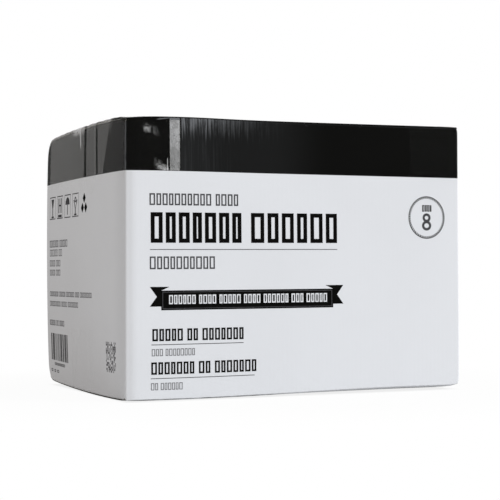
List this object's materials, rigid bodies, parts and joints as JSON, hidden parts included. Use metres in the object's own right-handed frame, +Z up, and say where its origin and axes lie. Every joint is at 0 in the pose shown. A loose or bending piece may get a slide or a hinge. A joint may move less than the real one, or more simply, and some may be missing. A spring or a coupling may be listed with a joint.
{
  "type": "glove shipping carton",
  "caption": "Taped corrugated shipping carton with folding top flaps, packed with paperboard dispenser packs of disposable gloves.",
  "frame": {"origin": "on the floor, under the middle of the carton's bottom", "axes": "+Z up, +X along the long front wall from left to right, the front wall faces -Y"},
  "size_m": [0.344, 0.259, 0.2545],
  "materials": {
    "corrugated_board": "white coated print, black band, brown inside",
    "clear_tape": "clear glossy film",
    "paperboard": "coated paperboard",
    "nitrile_gloves": "matt"
  },
  "bodies": {
    "carton": {"carton_sleeve": "corrugated_board", "top_flap_left": "corrugated_board", "top_flap_right": "corrugated_board", "bottom_flap_front": "corrugated_board", "bottom_flap_back": "corrugated_board", "bottom_flap_left": "corrugated_board", "bottom_flap_right": "corrugated_board", "side_tape_left": "clear_tape", "side_tape_right": "clear_tape", "bottom_tape": "clear_tape", "bottom_tape_tail_left": "clear_tape", "bottom_tape_tail_right": "clear_tape", "pack_01_carton": "paperboard", "pack_01_tear_panel": "paperboard", "pack_01_gloves": "nitrile_gloves", "pack_02_carton": "paperboard", "pack_02_tear_panel": "paperboard", "pack_02_gloves": "nitrile_gloves", "pack_03_carton": "paperboard", "pack_03_tear_panel": "paperboard", "pack_03_gloves": "nitrile_gloves", "pack_04_carton": "paperboard", "pack_04_tear_panel": "paperboard", "pack_04_gloves": "nitrile_gloves", "pack_05_carton": "paperboard", "pack_05_tear_panel": "paperboard", "pack_05_gloves": "nitrile_gloves", "pack_06_carton": "paperboard", "pack_06_tear_panel": "paperboard", "pack_06_gloves": "nitrile_gloves", "pack_07_carton": "paperboard", "pack_07_tear_panel": "paperboard", "pack_07_gloves": "nitrile_gloves", "pack_08_carton": "paperboard", "pack_08_tear_panel": "paperboard", "pack_08_gloves": "nitrile_gloves", "pack_09_carton": "paperboard", "pack_09_tear_panel": "paperboard", "pack_09_gloves": "nitrile_gloves", "pack_10_carton": "paperboard", "pack_10_tear_panel": "paperboard", "pack_10_gloves": "nitrile_gloves"},
    "front_flap": {"top_flap_front": "corrugated_board", "top_tape_front": "clear_tape"},
    "back_flap": {"top_flap_back": "corrugated_board", "top_tape_back": "clear_tape"}
  },
  "joints": [
    {"name": "top_flap_front_crease", "type": "hinge", "parent": "carton", "child": "front_flap", "pos_m": [0, -0.12925, 0.2545], "axis": [1, 0, 0], "range_deg": [0, 255]},
    {"name": "top_flap_back_crease", "type": "hinge", "parent": "carton", "child": "back_flap", "pos_m": [0, 0.12925, 0.2545], "axis": [-1, 0, 0], "range_deg": [0, 255]}
  ]
}
